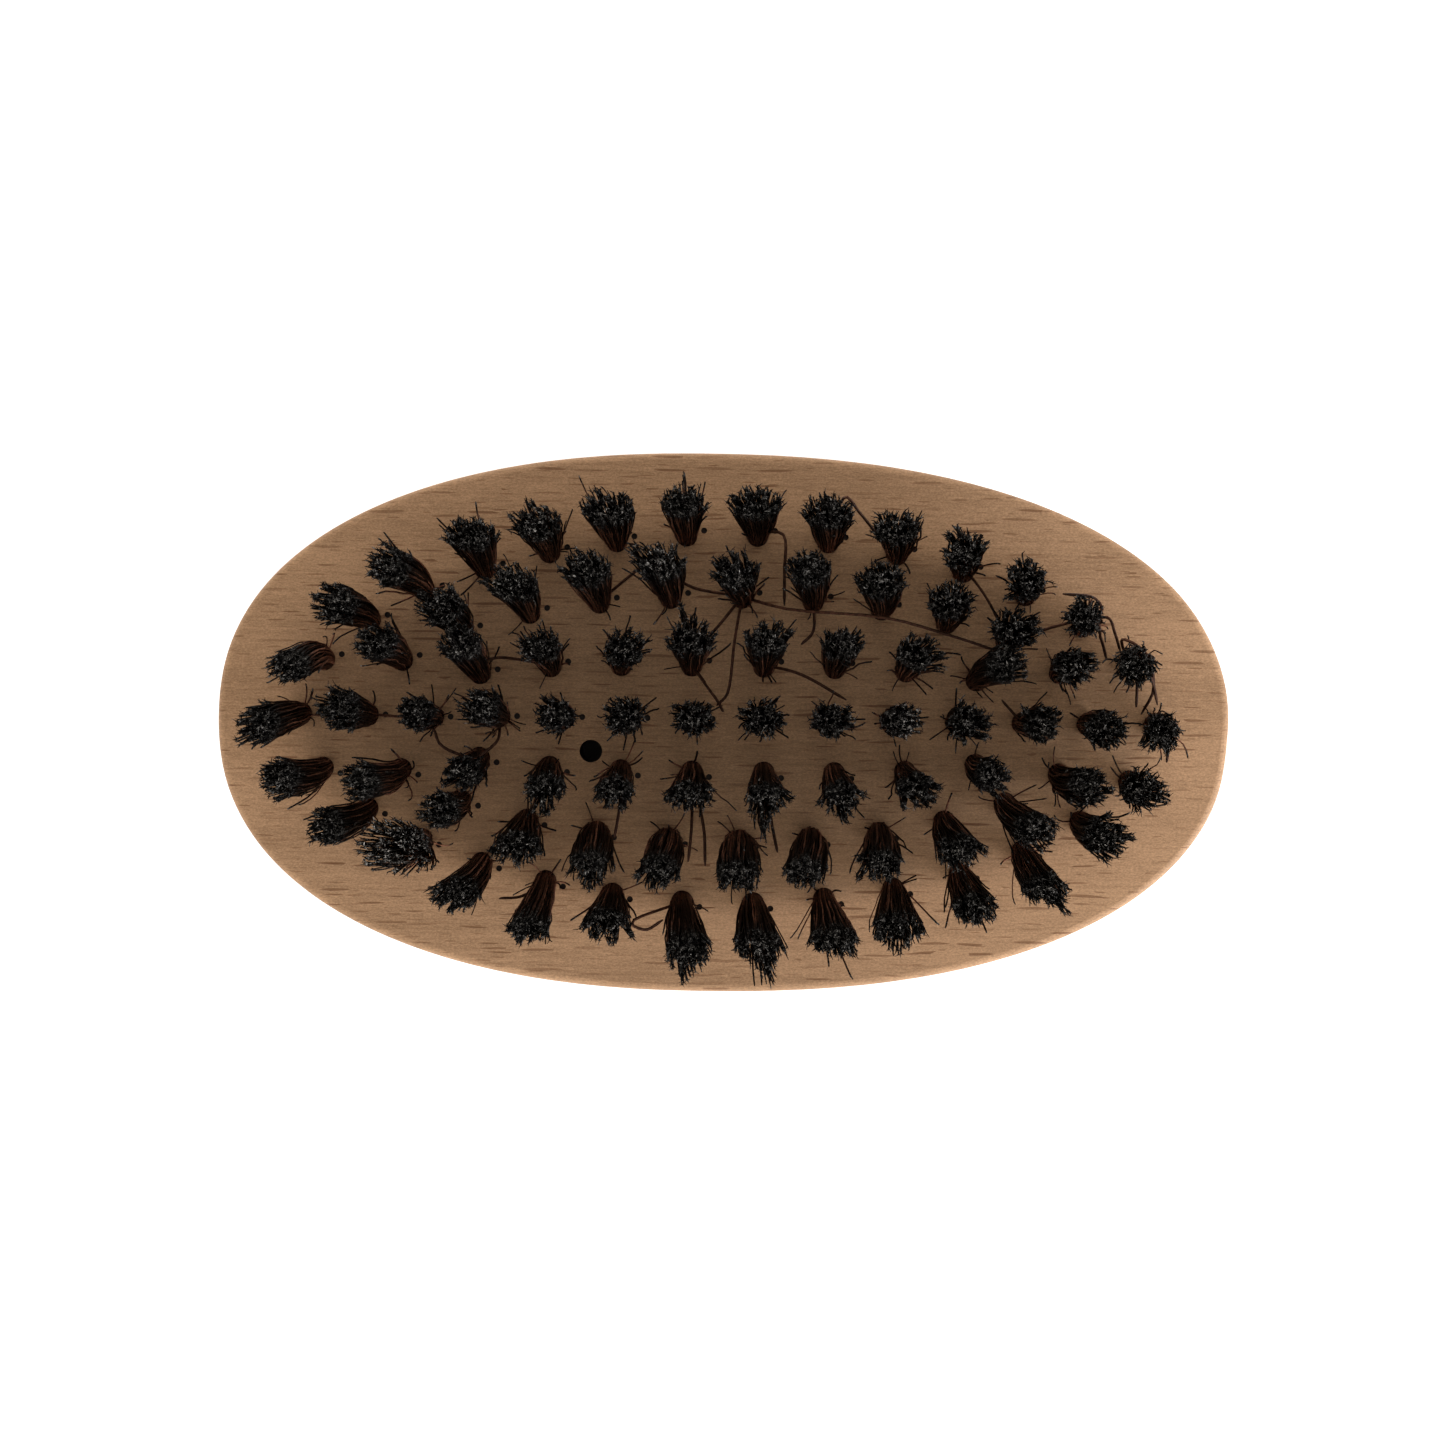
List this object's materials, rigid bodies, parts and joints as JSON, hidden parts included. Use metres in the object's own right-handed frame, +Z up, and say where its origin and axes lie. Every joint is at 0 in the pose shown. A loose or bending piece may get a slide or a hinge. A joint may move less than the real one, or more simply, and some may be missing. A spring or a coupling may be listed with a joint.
{
  "type": "clothes brush",
  "caption": "Palm-held oval clothes brush: a round-backed beech block whose flat face holds rings of splayed dark bristle tufts, each set in a blind hole.",
  "frame": {"origin": "middle of the flat of the back, on the surface that the brush lies on", "axes": "+X along the brush, +Y across it, +Z up out of the bristle face towards the bristle ends"},
  "size_m": [0.1164, 0.062, 0.037],
  "materials": {
    "wood": "bare sanded beech, fine flecked grain along the length, satin",
    "bristle": "dark brown-black bristle, slightly wavy, satin, with paler cut ends",
    "anchor_steel": "plain drawn wire"
  },
  "bodies": {
    "root": {"block": "wood", "centre_line_anchors": "anchor_steel", "centre_line_tufts_01": "bristle", "centre_line_tufts_02": "bristle", "centre_line_tufts_03": "bristle", "centre_line_tufts_04": "bristle", "inner_ring_anchors": "anchor_steel", "inner_ring_tufts_01": "bristle", "inner_ring_tufts_02": "bristle", "inner_ring_tufts_03": "bristle", "inner_ring_tufts_04": "bristle", "inner_ring_tufts_05": "bristle", "inner_ring_tufts_06": "bristle", "inner_ring_tufts_07": "bristle", "inner_ring_tufts_08": "bristle", "inner_ring_tufts_09": "bristle", "middle_ring_anchors": "anchor_steel", "middle_ring_tufts_01": "bristle", "middle_ring_tufts_02": "bristle", "middle_ring_tufts_03": "bristle", "middle_ring_tufts_04": "bristle", "middle_ring_tufts_05": "bristle", "middle_ring_tufts_06": "bristle", "middle_ring_tufts_07": "bristle", "middle_ring_tufts_08": "bristle", "middle_ring_tufts_09": "bristle", "middle_ring_tufts_10": "bristle", "middle_ring_tufts_11": "bristle", "middle_ring_tufts_12": "bristle", "outer_ring_anchors": "anchor_steel", "outer_ring_tufts_01": "bristle", "outer_ring_tufts_02": "bristle", "outer_ring_tufts_03": "bristle", "outer_ring_tufts_04": "bristle", "outer_ring_tufts_05": "bristle", "outer_ring_tufts_06": "bristle", "outer_ring_tufts_07": "bristle", "outer_ring_tufts_08": "bristle", "outer_ring_tufts_09": "bristle", "outer_ring_tufts_10": "bristle", "outer_ring_tufts_11": "bristle", "outer_ring_tufts_12": "bristle", "outer_ring_tufts_13": "bristle", "outer_ring_tufts_14": "bristle", "outer_ring_tufts_15": "bristle"}
  },
  "joints": []
}
